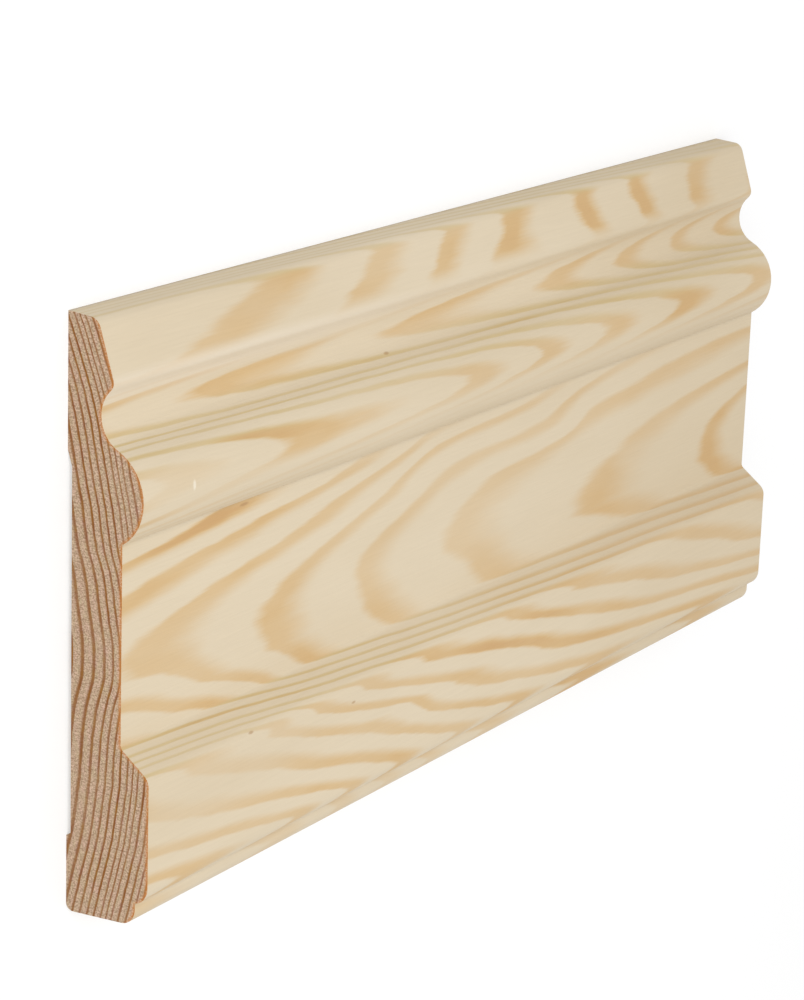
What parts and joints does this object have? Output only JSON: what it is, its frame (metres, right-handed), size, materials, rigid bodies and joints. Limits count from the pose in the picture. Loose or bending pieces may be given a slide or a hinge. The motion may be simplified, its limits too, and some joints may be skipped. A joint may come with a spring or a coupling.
{
  "type": "architrave",
  "caption": "Short length of solid softwood architrave with a stepped base band, flat field, torus, cove and sloping lip, and a shallow relief channel along its back.",
  "frame": {"origin": "middle of the back, on the surface that the piece lies on", "axes": "+X along the length, from the sawn end that shows in the picture towards the far end; +Y across the width, from the thick edge to the thin edge; +Z out of the moulded face, up from the back"},
  "size_m": [0.2, 0.092, 0.0152],
  "materials": {
    "pine": "planed and unfinished"
  },
  "bodies": {
    "root": {"architrave": "pine"}
  },
  "joints": []
}
